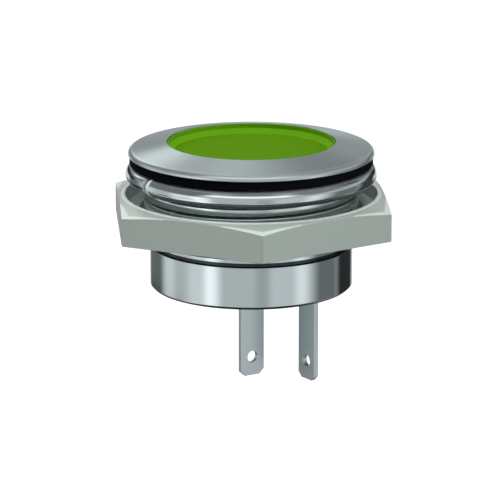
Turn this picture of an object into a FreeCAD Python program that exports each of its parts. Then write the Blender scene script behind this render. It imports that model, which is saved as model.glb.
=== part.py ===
import FreeCAD, Part
import os
from math import cos, pi, radians, sin, sqrt, tan

# Panel pilot light for a 22 mm hole, all lengths in millimetres.
# The axis is Z and +Z leaves through the lens. The plane z = 0 is the rear face of the
# flat gasket, which is the face that bears on the front of the panel.

# Threaded neck
thread_diameter = 22.0
thread_crest_relief = 0.1
thread_depth = 0.55
thread_length = 7.55
thread_lead_in = 0.3
undercut_length = 0.85
undercut_below_body = 0.35

# Flange, or bezel, in front of the panel
flange_overhang = 1.5
flange_edge_height = 0.55
flange_edge_round = 0.54
flange_edge_break = 0.08
face_slope_deg = 11.5
window_edge_break = 0.06

# Rear body and the bore that runs through the housing
body_thread_clearance = 0.05
rear_body_length = 4.35
rear_body_chamfer = 0.3
rear_wall = 1.1
rear_bore_chamfer = 0.2
bezel_step_width = 0.65
bezel_step_below_face = 2.05

# Flat gasket
gasket_thickness = 0.9
gasket_inset = 0.15
gasket_bore_clearance = 0.1
gasket_edge_break = 0.1

# Dished lens
lens_clearance = 0.06
lens_top_below_face = 0.1
lens_lip = 0.12
lens_dish_depth = 1.05
lens_bevel = 0.5
lens_floor = 1.1
lens_flange_thickness = 0.9

# Rings and optics behind the lens
inner_fit = 0.08
seal_bore_clearance = 0.07
seal_thickness = 0.45
retainer_width = 1.3
retainer_thickness = 1.0
retainer_slot_width = 1.2
retainer_slot_depth = 0.5
diffuser_thickness = 0.8
diffuser_edge_break = 0.15
reflector_height = 3.3
reflector_wall = 0.6
reflector_mouth_inset = 1.0
reflector_throat_clearance = 0.12

# Circuit board and what is soldered to it
board_thickness = 1.0
board_flat_depth = 0.6
led_count = 4
led_ring_radius = 3.0
led_first_angle_deg = 45.0
led_length = 2.0
led_width = 1.25
led_base_height = 0.45
led_dome_height = 0.3
led_dome_margin = 0.2
led_dome_break = 0.12
resistor_count = 2
resistor_from_bore = 4.6
resistor_first_y = 3.4
resistor_spacing = 4.6
resistor_length = 3.2
resistor_width = 1.6
resistor_height = 0.6
resistor_cap_length = 0.5
resistor_cap_proud = 0.05
rectifier_x = 1.4
rectifier_from_bore = 5.0
rectifier_length = 4.6
rectifier_width = 3.8
rectifier_height = 1.4
rectifier_lead_width = 0.6
rectifier_lead_spacing = 2.3
rectifier_lead_reach = 0.8
rectifier_lead_thickness = 0.2

# Insulating base, resin seal and blade terminals
base_plate_thickness = 1.6
base_skirt_wall = 0.6
resin_thickness = 0.3
resin_below_rim = 0.15
left_blade_from_axis = 1.8
left_blade_bearing_deg = -90.0
left_blade_turn_deg = 34.0
right_blade_from_bore = 2.53
right_blade_bearing_deg = -29.6
right_blade_turn_deg = -56.0
blade_width = 2.8
blade_thickness = 0.5
blade_reach = 9.1
blade_tip_chamfer = 0.55
blade_tip_rise = 0.5
blade_hole_diameter = 1.2
blade_hole_from_tip = 1.95
blade_slot_fit = 0.05
blade_shoulder_step = 0.25
blade_shoulder_height = 0.6
blade_tang_width = 1.3
blade_tang_proud = 0.35
solder_foot_radius = 0.95
solder_top_radius = 0.8
solder_height = 0.3

# Split ring of round wire below the gasket, which reaches just past the flange
ring_proud_of_flange = 0.28
ring_running_fit = 0.08
ring_rise_per_turn = 0.1
ring_split_gap = 0.15
ring_tip_angle_deg = -148.0
ring_below_gasket = 0.06
ring_arc_count = 4

# Hexagonal nut, whose recess takes the ring
nut_recess_fit = 0.02
nut_wall_at_flats = 0.7
nut_thickness = 3.5
nut_corner_angle_deg = -85.8
nut_face_cone_deg = 14.0
nut_face_crown = 0.02
nut_recess_depth = 1.5
nut_rim_width = 0.15
nut_running_fit = 0.08
nut_bore_chamfer = 0.4
nut_gap_below_ring = 1.137

# Radii that follow from the sizes above
crest_radius = thread_diameter / 2 - thread_crest_relief
flange_radius = thread_diameter / 2 + flange_overhang
body_radius = crest_radius - thread_depth - body_thread_clearance
undercut_radius = body_radius - undercut_below_body
bore_radius = body_radius - rear_wall
window_radius = bore_radius - bezel_step_width
inner_radius = bore_radius - inner_fit
cavity_radius = bore_radius - retainer_width
neck_clear_radius = crest_radius + ring_running_fit
ring_outer_radius = flange_radius + ring_proud_of_flange
wire_radius = (ring_outer_radius - neck_clear_radius) / 2
ring_centre_radius = neck_clear_radius + wire_radius
nut_recess_radius = ring_outer_radius + nut_recess_fit
nut_across_flats = 2 * (nut_recess_radius + nut_wall_at_flats)
nut_bore_radius = crest_radius + nut_running_fit

# Levels of the housing
face_drop_per_radius = tan(radians(face_slope_deg))
flange_rear_z = gasket_thickness
flange_corner_z = flange_rear_z + flange_edge_height
face_rim_z = flange_corner_z + (flange_radius - window_radius) * face_drop_per_radius
step_z = face_rim_z - bezel_step_below_face
thread_end_z = -thread_length
body_top_z = thread_end_z - undercut_length
rear_z = body_top_z - rear_body_length

# Levels of the stack inside, from the front to the rear
seal_rear_z = step_z - seal_thickness
lens_rear_z = seal_rear_z - lens_flange_thickness
retainer_rear_z = lens_rear_z - retainer_thickness
diffuser_rear_z = retainer_rear_z - diffuser_thickness
board_front_z = diffuser_rear_z - reflector_height
board_rear_z = board_front_z - board_thickness
resin_rear_z = rear_z + resin_below_rim
base_rear_z = resin_rear_z + resin_thickness
base_plate_front_z = base_rear_z + base_plate_thickness
blade_tip_z = rear_z - blade_reach

# The ring's helix, counted from its lower end, and the nut below it
ring_sweep = 2 * pi - ring_split_gap / ring_centre_radius
ring_rise = ring_rise_per_turn * ring_sweep / (2 * pi)
ring_start_z = -ring_below_gasket - wire_radius - ring_rise
nut_rim_z = ring_start_z - wire_radius - nut_gap_below_ring
nut_rear_z = nut_rim_z - nut_thickness

# Places on the board and in the base: x, y and the turn about the axis
right_blade_from_axis = bore_radius - right_blade_from_bore
left_bearing = radians(left_blade_bearing_deg)
right_bearing = radians(right_blade_bearing_deg)
blade_places = {
    "left": (left_blade_from_axis * cos(left_bearing),
             left_blade_from_axis * sin(left_bearing), left_blade_turn_deg),
    "right": (right_blade_from_axis * cos(right_bearing),
              right_blade_from_axis * sin(right_bearing), right_blade_turn_deg),
}
resistor_x = -(bore_radius - resistor_from_bore)
rectifier_place = (rectifier_x, bore_radius - rectifier_from_bore, 0)

UP = FreeCAD.Vector(0, 0, 1)
ORIGIN = FreeCAD.Vector(0, 0, 0)


def point(radius, z):
    """A point of a turned outline, in the XZ plane."""
    return FreeCAD.Vector(radius, 0, z)


def corner_arc(before, corner, after, radius):
    """The arc of a given radius that rounds the corner between two straight runs."""
    to_before = (before - corner).normalize()
    to_after = (after - corner).normalize()
    half_angle = to_before.getAngle(to_after) / 2
    setback = radius / tan(half_angle)
    middle_line = (to_before + to_after).normalize()
    start = corner + to_before * setback
    end = corner + to_after * setback
    middle = corner + middle_line * (radius / sin(half_angle) - radius)
    return start, middle, end


def outline_face(corners, rounds=None):
    """A flat face inside straight runs, with some of its corners rounded."""
    rounds = rounds or {}
    count = len(corners)
    edges, starts, ends = [], [], []
    for index, corner in enumerate(corners):
        start = end = corner
        if index in rounds:
            after = corners[(index + 1) % count]
            start, middle, end = corner_arc(corners[index - 1], corner, after, rounds[index])
            edges.append(Part.Arc(start, middle, end).toShape())
        starts.append(start)
        ends.append(end)
    for index, end in enumerate(ends):
        edges.append(Part.LineSegment(end, starts[(index + 1) % count]).toShape())
    return Part.Face(Part.Wire(Part.sortEdges(edges)[0]))


def turned(corners, rounds=None):
    """The solid that an outline of (radius, z) corners sweeps about the axis."""
    face = outline_face([point(r, z) for r, z in corners], rounds)
    return face.revolve(ORIGIN, UP, 360)


def placed(shape, place):
    """A shape turned about Z by an angle and moved to (x, y)."""
    x, y, angle_deg = place
    moved = shape.copy()
    moved.rotate(ORIGIN, UP, angle_deg)
    moved.translate(FreeCAD.Vector(x, y, 0))
    return moved


def block(length, width, low_z, high_z):
    """A box centred on the axis between two levels."""
    corner = FreeCAD.Vector(-length / 2, -width / 2, low_z)
    return Part.makeBox(length, width, high_z - low_z, corner)


def ring(outer_radius, hole_radius, low_z, high_z):
    """A plain turned ring."""
    return turned([(hole_radius, low_z), (outer_radius, low_z),
                   (outer_radius, high_z), (hole_radius, high_z)])


def disc(radius, low_z, high_z):
    """A plain round disc on the axis."""
    return Part.makeCylinder(radius, high_z - low_z, FreeCAD.Vector(0, 0, low_z))


def bezel_housing():
    """Bezel, threaded neck, undercut and rear body, turned from one bar."""
    edge_break = flange_edge_break
    outline = [
        (window_radius + window_edge_break, face_rim_z - window_edge_break * face_drop_per_radius),
        (flange_radius, flange_corner_z),
        (flange_radius, flange_rear_z + edge_break),
        (flange_radius - edge_break, flange_rear_z),
        (crest_radius, flange_rear_z),
        (crest_radius, thread_end_z + thread_lead_in),
        (crest_radius - thread_lead_in, thread_end_z),
        (undercut_radius, thread_end_z),
        (undercut_radius, body_top_z),
        (body_radius, body_top_z),
        (body_radius, rear_z + rear_body_chamfer),
        (body_radius - rear_body_chamfer, rear_z),
        (bore_radius + rear_bore_chamfer, rear_z),
        (bore_radius, rear_z + rear_bore_chamfer),
        (bore_radius, step_z),
        (window_radius, step_z),
        (window_radius, face_rim_z - window_edge_break),
    ]
    return turned(outline, {1: flange_edge_round})


def lens():
    """Dished lens with a flange that is caught behind the bezel's step."""
    outer = window_radius - lens_clearance
    top = face_rim_z - lens_top_below_face
    floor_z = face_rim_z - lens_dish_depth
    lip_radius = outer - lens_lip
    floor_under_z = floor_z - lens_floor
    outline = [
        (0, floor_z),
        (lip_radius - lens_bevel, floor_z),
        (lip_radius, floor_z + lens_bevel),
        (lip_radius, top),
        (outer, top),
        (outer, seal_rear_z),
        (inner_radius, seal_rear_z),
        (inner_radius, lens_rear_z),
        (cavity_radius, lens_rear_z),
        (cavity_radius, floor_under_z),
        (0, floor_under_z),
    ]
    return turned(outline)


def lens_seal():
    """Flat seal between the bezel's step and the lens flange."""
    return ring(inner_radius, window_radius + seal_bore_clearance, seal_rear_z, step_z)


def lens_retainer():
    """Slotted ring, screwed in behind the lens."""
    body = ring(inner_radius, cavity_radius, retainer_rear_z, lens_rear_z)
    slot = block(2 * bore_radius, retainer_slot_width,
                 retainer_rear_z, retainer_rear_z + retainer_slot_depth)
    return body.cut(slot)


def diffuser():
    """Opal disc in front of the reflector."""
    edge = diffuser_edge_break
    return turned([
        (0, diffuser_rear_z), (inner_radius, diffuser_rear_z),
        (inner_radius, retainer_rear_z - edge), (inner_radius - edge, retainer_rear_z),
        (0, retainer_rear_z)])


def reflector():
    """White cone in a thin skirt, open below so that it clears the solder joints."""
    skirt_radius = inner_radius - reflector_wall
    mouth = skirt_radius - reflector_mouth_inset
    led_corner = sqrt((led_ring_radius + led_width / 2) ** 2 + (led_length / 2) ** 2)
    throat = led_corner + reflector_throat_clearance
    front_z = diffuser_rear_z
    wall_turn = reflector_wall * sqrt((mouth - throat) ** 2 + reflector_height ** 2) / reflector_height
    under_z = front_z - reflector_wall
    slope = (mouth - throat) / reflector_height
    under_mouth = mouth + wall_turn - reflector_wall * slope
    return turned([
        (throat, board_front_z), (throat + wall_turn, board_front_z),
        (under_mouth, under_z), (skirt_radius, under_z),
        (skirt_radius, board_front_z), (inner_radius, board_front_z),
        (inner_radius, front_z), (mouth, front_z)])


def circuit_board():
    """Round board with one flat, and a slot for each terminal's tang."""
    board = disc(inner_radius, board_rear_z, board_front_z)
    flat = Part.makeBox(2 * bore_radius, board_flat_depth, board_thickness,
                        FreeCAD.Vector(-bore_radius, inner_radius - board_flat_depth, board_rear_z))
    board = board.cut(flat)
    for place in blade_places.values():
        slot = block(blade_tang_width + 2 * blade_slot_fit, blade_thickness + 2 * blade_slot_fit,
                     board_rear_z, board_front_z)
        board = board.cut(placed(slot, place))
    return board


def led(index):
    """One chip light on the front of the board, its long side towards its neighbours."""
    base_top = board_front_z + led_base_height
    base = block(led_width, led_length, board_front_z, base_top)
    dome = block(led_width, led_length - 2 * led_dome_margin, base_top, base_top + led_dome_height)
    dome = dome.makeChamfer(led_dome_break, top_edges(dome))
    angle = led_first_angle_deg + 360.0 * index / led_count
    chip = base.fuse(dome).removeSplitter()
    chip.translate(FreeCAD.Vector(led_ring_radius, 0, 0))
    chip.rotate(ORIGIN, UP, angle)
    return chip


def top_edges(shape):
    """The edges around the highest face of a shape."""
    highest = max(shape.Faces, key=lambda face: face.CenterOfMass.z)
    return highest.Edges


def resistor(index):
    """Chip resistor on the rear of the board, with a metal cap round each end."""
    place = (resistor_x, resistor_first_y - index * resistor_spacing, 90)
    rear = board_rear_z - resistor_height
    body = block(resistor_length, resistor_width, rear, board_rear_z - resistor_cap_proud)
    shape = body
    for side in (-1, 1):
        cap = block(resistor_cap_length, resistor_width + 2 * resistor_cap_proud,
                    rear - resistor_cap_proud, board_rear_z)
        cap.translate(FreeCAD.Vector(side * (resistor_length - resistor_cap_length) / 2, 0, 0))
        shape = shape.fuse(cap)
    return placed(shape.removeSplitter(), place)


def rectifier():
    """Moulded bridge rectifier with four bent leads."""
    standoff = rectifier_lead_thickness
    front = board_rear_z - standoff
    body = block(rectifier_length, rectifier_width, front - rectifier_height, front)
    lead_low = board_rear_z - rectifier_height / 2
    shape = body
    for side_x in (-1, 1):
        for side_y in (-1, 1):
            arm = Part.makeBox(rectifier_lead_width, rectifier_lead_reach,
                               rectifier_lead_thickness)
            leg = Part.makeBox(rectifier_lead_width, rectifier_lead_thickness,
                               board_rear_z - lead_low)
            x = (side_x * rectifier_lead_spacing - rectifier_lead_width) / 2
            half = rectifier_width / 2
            arm_y = half if side_y > 0 else -half - rectifier_lead_reach
            leg_y = half if side_y > 0 else -half - rectifier_lead_thickness
            arm.translate(FreeCAD.Vector(x, arm_y, board_rear_z - rectifier_lead_thickness))
            leg.translate(FreeCAD.Vector(x, leg_y, lead_low))
            shape = shape.fuse(arm).fuse(leg)
    return placed(shape.removeSplitter(), rectifier_place)


def blade_section(clearance, low_z, high_z):
    """The space that a terminal's blade takes through the base or the resin."""
    return block(blade_width + 2 * clearance, blade_thickness + 2 * clearance, low_z, high_z)


def terminal(place):
    """Flat blade with a bevelled tip and a wire hole, a shoulder and a solder tang."""
    half = blade_width / 2
    shoulder = half + blade_shoulder_step
    tang = blade_tang_width / 2
    shoulder_top = base_plate_front_z + blade_shoulder_height
    tang_top = board_front_z + blade_tang_proud
    right_side = [
        (half - blade_tip_chamfer, blade_tip_z),
        (half, blade_tip_z + blade_tip_rise),
        (half, base_plate_front_z),
        (shoulder, base_plate_front_z),
        (shoulder, shoulder_top),
        (tang, shoulder_top),
        (tang, tang_top),
    ]
    left_side = [(-x, z) for x, z in reversed(right_side)]
    corners = [FreeCAD.Vector(x, -blade_thickness / 2, z) for x, z in right_side + left_side]
    sheet = outline_face(corners).extrude(FreeCAD.Vector(0, blade_thickness, 0))
    hole = Part.makeCylinder(
        blade_hole_diameter / 2, 2 * blade_thickness,
        FreeCAD.Vector(0, -blade_thickness, blade_tip_z + blade_hole_from_tip),
        FreeCAD.Vector(0, 1, 0))
    return placed(sheet.cut(hole), place)


def solder_joint(place):
    """Cone of solder round a tang on the front of the board."""
    cone = turned([(0, board_front_z), (solder_foot_radius, board_front_z),
                   (solder_top_radius, board_front_z + solder_height),
                   (0, board_front_z + solder_height)])
    tang = block(blade_tang_width, blade_thickness, board_front_z, board_front_z + blade_tang_proud)
    return placed(cone.cut(tang), place)


def terminal_base():
    """Insulating cup that carries the blades and holds the board off by its skirt."""
    cup = turned([
        (0, base_rear_z), (inner_radius, base_rear_z), (inner_radius, board_rear_z),
        (inner_radius - base_skirt_wall, board_rear_z),
        (inner_radius - base_skirt_wall, base_plate_front_z), (0, base_plate_front_z)])
    for place in blade_places.values():
        cup = cup.cut(placed(blade_section(blade_slot_fit, base_rear_z, base_plate_front_z), place))
    return cup


def resin_seal():
    """Thin layer of resin over the base, cast round the blades."""
    layer = disc(bore_radius, resin_rear_z, base_rear_z)
    for place in blade_places.values():
        layer = layer.cut(placed(blade_section(0, resin_rear_z, base_rear_z), place))
    return layer


def panel_gasket():
    """Flat rubber gasket under the flange, its outer edges slightly rounded."""
    bore = crest_radius + gasket_bore_clearance
    outer = flange_radius - gasket_inset
    edge = gasket_edge_break
    return turned([
        (bore, 0), (outer - edge, 0), (outer, edge), (outer, flange_rear_z - edge),
        (outer - edge, flange_rear_z), (bore, flange_rear_z)])


def helix_point(angle):
    """A point of the ring's centre line, counted from its lower end."""
    return FreeCAD.Vector(ring_centre_radius * cos(angle), ring_centre_radius * sin(angle),
                          ring_rise_per_turn * angle / (2 * pi))


def helix_tangent(angle):
    """The direction in which the ring's centre line climbs."""
    return FreeCAD.Vector(-sin(angle), cos(angle), ring_rise_per_turn / (2 * pi * ring_centre_radius))


def lock_ring():
    """Split ring of round wire that climbs along a shallow helix, bent in equal arcs."""
    step = ring_sweep / ring_arc_count
    arcs = []
    for index in range(ring_arc_count):
        first, middle, last = [helix_point(step * (index + share)) for share in (0, 0.5, 1)]
        arcs.append(Part.Arc(first, middle, last).toShape())
    section = Part.Wire(Part.makeCircle(wire_radius, helix_point(0), helix_tangent(0)))
    coil = Part.Wire(arcs).makePipeShell([section], True, True)
    coil.rotate(ORIGIN, UP, ring_tip_angle_deg)
    coil.translate(FreeCAD.Vector(0, 0, ring_start_z))
    return coil


def hex_prism(across_flats, low_z, high_z, corner_angle_deg):
    """A hexagonal prism with one corner at a given angle."""
    corner_radius = across_flats / sqrt(3)
    angles = [radians(corner_angle_deg + 60 * k) for k in range(6)]
    corners = [FreeCAD.Vector(corner_radius * cos(a), corner_radius * sin(a), low_z)
               for a in angles]
    return outline_face(corners).extrude(FreeCAD.Vector(0, 0, high_z - low_z))


def nut_envelope():
    """The turned form that bounds the nut: its front is a cone with a very slight crown."""
    inner = nut_recess_radius + nut_rim_width
    outer = nut_across_flats / sqrt(3) + nut_wall_at_flats
    slope = radians(nut_face_cone_deg)
    drop = (outer - inner) * tan(slope)
    start = point(inner, nut_rim_z)
    end = point(outer, nut_rim_z - drop)
    middle = (start + end) * 0.5 + point(sin(slope), cos(slope)) * nut_face_crown
    crown = Part.Arc(start, middle, end).toShape()
    straight = Part.makePolygon([end, point(outer, nut_rear_z), point(0, nut_rear_z),
                                 point(0, nut_rim_z), start])
    face = Part.Face(Part.Wire([crown] + straight.Edges))
    return face.revolve(ORIGIN, UP, 360)


def hex_nut():
    """Hexagonal nut with a coned front face round a wide recess for the ring."""
    prism = hex_prism(nut_across_flats, nut_rear_z, nut_rim_z, nut_corner_angle_deg)
    recess_floor_z = nut_rim_z - nut_recess_depth
    chamfer = nut_bore_chamfer
    opening = turned([
        (0, nut_rear_z), (nut_bore_radius + chamfer, nut_rear_z),
        (nut_bore_radius, nut_rear_z + chamfer),
        (nut_bore_radius, recess_floor_z - chamfer),
        (nut_bore_radius + chamfer, recess_floor_z),
        (nut_recess_radius, recess_floor_z), (nut_recess_radius, nut_rim_z), (0, nut_rim_z)])
    return prism.common(nut_envelope()).cut(opening)


def build_pieces():
    """Every node of the pilot light by its name."""
    pieces = {
        "bezel_housing": bezel_housing(),
        "lens": lens(),
        "lens_seal": lens_seal(),
        "lens_retainer": lens_retainer(),
        "diffuser": diffuser(),
        "reflector": reflector(),
        "circuit_board": circuit_board(),
        "rectifier": rectifier(),
        "terminal_base": terminal_base(),
        "resin_seal": resin_seal(),
        "panel_gasket": panel_gasket(),
        "lock_ring": lock_ring(),
        "hex_nut": hex_nut(),
    }
    for index in range(led_count):
        pieces[f"led_{index + 1}"] = led(index)
    for index in range(resistor_count):
        pieces[f"resistor_{index + 1}"] = resistor(index)
    for side, place in blade_places.items():
        pieces[f"terminal_{side}"] = terminal(place)
        pieces[f"solder_{side}"] = solder_joint(place)
    return pieces


def main():
    """Writes one STEP file for each piece."""
    os.makedirs("parts", exist_ok=True)
    for name, shape in build_pieces().items():
        solid = shape.Solids[0] if len(shape.Solids) == 1 else shape
        solid.exportStep(os.path.join("parts", name + ".step"))
        print(name, "solids", len(shape.Solids), "valid", shape.isValid(),
              "volume", round(shape.Volume, 3))


main()
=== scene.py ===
"""Panel pilot light: polished steel housing, dished green lens, split lock ring, nut and blades.

Each class builds one sub-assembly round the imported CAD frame. Sizes are in millimetres and
become metres when a mesh is made. The axis is Z, and +Z leaves through the lens.
"""

import logging
import math
from dataclasses import dataclass, field
from enum import Enum
from functools import cache
from typing import Sequence, Union

import bmesh
import bpy
import numpy as np
from mathutils import Matrix, Vector


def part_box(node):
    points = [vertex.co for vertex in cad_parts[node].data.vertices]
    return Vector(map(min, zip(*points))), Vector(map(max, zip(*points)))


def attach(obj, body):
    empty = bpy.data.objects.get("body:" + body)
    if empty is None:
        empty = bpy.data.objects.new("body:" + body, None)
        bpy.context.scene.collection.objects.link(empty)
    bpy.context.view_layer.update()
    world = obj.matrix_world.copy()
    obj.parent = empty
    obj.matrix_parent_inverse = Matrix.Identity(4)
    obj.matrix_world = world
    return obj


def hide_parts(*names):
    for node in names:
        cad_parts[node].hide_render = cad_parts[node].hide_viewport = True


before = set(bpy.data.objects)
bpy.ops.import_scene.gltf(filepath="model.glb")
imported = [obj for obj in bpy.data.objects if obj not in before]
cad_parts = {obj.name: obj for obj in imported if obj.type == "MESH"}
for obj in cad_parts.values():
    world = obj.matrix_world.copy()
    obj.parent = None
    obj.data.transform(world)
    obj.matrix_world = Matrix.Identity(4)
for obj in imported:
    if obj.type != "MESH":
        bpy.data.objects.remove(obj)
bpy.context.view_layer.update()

log = logging.getLogger("pilot_light")

MM = 0.001
TURNED_STEPS = 288
ARC_STEP_DEG = 12.0
SUPPORT_MM = 0.012
SHARP_ANGLE_DEG = 32.0
WELD_MM = 1e-5
UNEVEN_PER_MM = 0.35
UNEVEN_DETAIL = 3.0
GRAIN_DETAIL = 2.0
DRAWN_STRETCH = 0.04
AROUND_THE_AXIS = 0.25
SCATTER_MM = (0.4, 1.0, 0.2)

Colour = tuple[float, float, float]
Socket = bpy.types.NodeSocket
Operand = Union[Socket, float]


@dataclass(frozen=True)
class Reach:
    """How far a CAD node reaches, in millimetres: its middle, its radius and its heights."""

    across: float
    depth: float
    radius: float
    low: float
    high: float


def reach(node: str) -> Reach:
    """Reads how far a CAD node reaches, to a thousandth of a millimetre.

    Args:
        node: The node's name.

    Returns:
        Its middle across and in depth, its radius, and its lowest and highest height.
    """
    low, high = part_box(node)
    across, depth = ((low[axis] + high[axis]) / 2 / MM for axis in (0, 1))
    sizes = (across, depth, high[0] / MM, low[2] / MM, high[2] / MM)
    return Reach(*(round(size, 3) for size in sizes))


HOUSING = reach("bezel_housing")
LENS = reach("lens")
LENS_SEAL = reach("lens_seal")
GASKET = reach("panel_gasket")
RESIN_SEAL = reach("resin_seal")
NUT = reach("hex_nut")


class Grain(Enum):
    """How a surface is marked by the way it was made."""

    PLAIN = "plain"
    TURNED = "turned"
    FINE = "fine"
    DRAWN = "drawn"


class Body(Enum):
    """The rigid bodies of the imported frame."""

    HOUSING = "housing"
    LOCK_RING = "lock_ring"
    HEX_NUT = "hex_nut"


class NodeSheet:
    """A node tree under construction, with short ways to add nodes and sums."""

    def __init__(self, tree: bpy.types.NodeTree) -> None:
        """Keeps the node tree that is filled."""
        self.tree = tree

    def add(self, kind: str, **settings: object) -> bpy.types.Node:
        """Adds one node.

        Args:
            kind: The node's type name.
            **settings: Properties of the node.

        Returns:
            The new node.
        """
        node = self.tree.nodes.new(kind)
        for key, value in settings.items():
            setattr(node, key, value)
        return node

    def feed(self, socket: Socket, value: Operand) -> None:
        """Links or sets one input.

        Args:
            socket: The input socket.
            value: An output socket or a plain value.
        """
        if isinstance(value, Socket):
            self.tree.links.new(value, socket)
        else:
            socket.default_value = value

    def math(self, operation: str, *operands: Operand) -> Socket:
        """Adds one Math node.

        Args:
            operation: The operation's name in Blender.
            *operands: Its inputs in order.

        Returns:
            The result's socket.
        """
        node = self.add("ShaderNodeMath", operation=operation)
        for socket, value in zip(node.inputs, operands):
            self.feed(socket, value)
        return node.outputs[0]

    def plus(self, first: Operand, second: Operand) -> Socket:
        """The sum of two values."""
        return self.math("ADD", first, second)

    def minus(self, first: Operand, second: Operand) -> Socket:
        """The first value less the second."""
        return self.math("SUBTRACT", first, second)

    def times(self, first: Operand, second: Operand) -> Socket:
        """The product of two values."""
        return self.math("MULTIPLY", first, second)

    def over(self, first: Operand, second: Operand) -> Socket:
        """The first value divided by the second."""
        return self.math("DIVIDE", first, second)

    def parts(self, vector: Socket) -> Sequence[Socket]:
        """Splits a vector.

        Args:
            vector: The vector's socket.

        Returns:
            The sockets of its X, Y and Z.
        """
        node = self.add("ShaderNodeSeparateXYZ")
        self.feed(node.inputs[0], vector)
        return node.outputs

    def vector(self, *values: Operand) -> Socket:
        """Joins up to three values to a vector, the rest being zero.

        Args:
            *values: The values of X, Y and Z.

        Returns:
            The vector's socket.
        """
        node = self.add("ShaderNodeCombineXYZ")
        for socket, value in zip(node.inputs, values):
            self.feed(socket, value)
        return node.outputs[0]

    def place(self) -> Socket:
        """The place on the piece, in its own axes."""
        return self.add("ShaderNodeTexCoord").outputs["Object"]

    def noise(self, place: Socket, per_mm: float, detail: float) -> Socket:
        """A noise between 0 and 1.

        Args:
            place: Where it is read.
            per_mm: How many of its swells lie in a millimetre.
            detail: How many finer layers it has.

        Returns:
            The noise's socket.
        """
        node = self.add("ShaderNodeTexNoise")
        self.feed(node.inputs["Vector"], place)
        node.inputs["Scale"].default_value = per_mm / MM
        node.inputs["Detail"].default_value = detail
        return node.outputs[0]

    def ease(self, value: Operand, low: float, high: float) -> Socket:
        """A smooth step of a value, 0 below low and 1 above high.

        Args:
            value: What is stepped.
            low: Where the step starts.
            high: Where the step ends.

        Returns:
            The step's socket.
        """
        node = self.add("ShaderNodeMapRange", interpolation_type="SMOOTHSTEP")
        for name, operand in (("Value", value), ("From Min", low), ("From Max", high)):
            self.feed(node.inputs[name], operand)
        return node.outputs[0]


@dataclass(frozen=True)
class Finish:
    """One finish: numbers for a Principled shader, a grain and a slight unevenness."""

    name: str
    colour: Colour
    metallic: float = 0.0
    roughness: float = 0.5
    ior: float = 1.45
    anisotropy: float = 0.0
    subsurface: float = 0.0
    grain: Grain = Grain.PLAIN
    grain_per_mm: float = 12.0
    grain_depth_mm: float = 0.0
    uneven: float = 0.0

    @cache
    def material(self) -> bpy.types.Material:
        """Builds the finish.

        Returns:
            The material, the same one each time.
        """
        material = bpy.data.materials.new(self.name)
        material.use_nodes = True
        tree = material.node_tree
        shader = tree.nodes["Principled BSDF"]
        shader.inputs["Base Color"].default_value = (*self.colour, 1.0)
        shader.inputs["Metallic"].default_value = self.metallic
        shader.inputs["Roughness"].default_value = self.roughness
        shader.inputs["IOR"].default_value = self.ior
        shader.inputs["Anisotropic"].default_value = self.anisotropy
        shader.inputs["Anisotropic Rotation"].default_value = AROUND_THE_AXIS
        if self.subsurface:
            shader.inputs["Subsurface Weight"].default_value = self.subsurface
            shader.inputs["Subsurface Radius"].default_value = SCATTER_MM
            shader.inputs["Subsurface Scale"].default_value = MM
        sheet = NodeSheet(tree)
        if self.anisotropy:
            tangent = sheet.add("ShaderNodeTangent", direction_type="RADIAL", axis="Z")
            sheet.feed(shader.inputs["Tangent"], tangent.outputs[0])
        if self.uneven:
            sheet.feed(shader.inputs["Roughness"], self._unevenness(sheet))
        if self.grain is not Grain.PLAIN:
            sheet.feed(shader.inputs["Normal"], self._relief(sheet))
        return material

    def _unevenness(self, sheet: NodeSheet) -> Socket:
        """A roughness that drifts a little over the surface.

        Args:
            sheet: The material's node sheet.

        Returns:
            The roughness socket.
        """
        noise = sheet.noise(sheet.place(), UNEVEN_PER_MM, UNEVEN_DETAIL)
        shift = sheet.minus(noise, 0.5)
        return sheet.math("MULTIPLY_ADD", shift, self.uneven, self.roughness)

    def _relief(self, sheet: NodeSheet) -> Socket:
        """The normal of the finish's grain.

        Args:
            sheet: The material's node sheet.

        Returns:
            The normal socket.
        """
        place = sheet.place()
        if self.grain is Grain.TURNED:
            place = self._around_axis(sheet, place)
        if self.grain is Grain.DRAWN:
            stretch = sheet.add("ShaderNodeMapping")
            stretch.inputs["Scale"].default_value = (1.0, 1.0, DRAWN_STRETCH)
            sheet.feed(stretch.inputs["Vector"], place)
            place = stretch.outputs[0]
        bump = sheet.add("ShaderNodeBump")
        bump.inputs["Strength"].default_value = 1.0
        bump.inputs["Distance"].default_value = self.grain_depth_mm * MM
        grain = sheet.noise(place, self.grain_per_mm, GRAIN_DETAIL)
        sheet.feed(bump.inputs["Height"], grain)
        return bump.outputs[0]

    @staticmethod
    def _around_axis(sheet: NodeSheet, place: Socket) -> Socket:
        """Turns a place into its radius and height, so that a pattern on it is turned.

        Args:
            sheet: The material's node sheet.
            place: The place's socket.

        Returns:
            The socket of the vector of radius, height and zero.
        """
        across, depth, height = sheet.parts(place)
        square = sheet.times(across, across)
        square = sheet.math("MULTIPLY_ADD", depth, depth, square)
        return sheet.vector(sheet.math("SQRT", square), height)


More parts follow.
